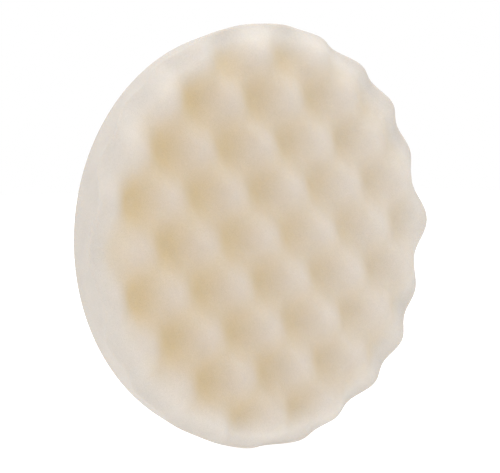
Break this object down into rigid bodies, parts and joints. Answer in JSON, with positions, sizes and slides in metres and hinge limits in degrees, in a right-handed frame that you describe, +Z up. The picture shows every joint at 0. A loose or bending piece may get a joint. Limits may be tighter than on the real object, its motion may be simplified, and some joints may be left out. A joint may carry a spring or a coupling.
{
  "type": "foam polishing pad",
  "caption": "Round foam polishing pad with a staggered waffle face and a flat loop-fabric back that grips a hook-faced backing plate.",
  "frame": {"origin": "centre of the loop face, on the plane through the tips of the loops", "axes": "the pad stands upright; +Y along its axis, out of the loop face; the waffle face looks towards -Y; +Z up; +X to the right, seen from the waffle face"},
  "size_m": [0.203, 0.03, 0.203],
  "materials": {
    "foam": "open-cell polyurethane foam, cream, fine pored and dead matt",
    "adhesive": "hot-melt adhesive film, translucent, seen only as a thin edge",
    "knit": "warp-knitted nylon ground, off-white, matt",
    "loops": "standing nylon loops, off-white, soft sheen"
  },
  "bodies": {
    "root": {"foam_pad": "foam", "adhesive_film": "adhesive", "loop_knit": "knit", "loop_pile": "loops"}
  },
  "joints": []
}
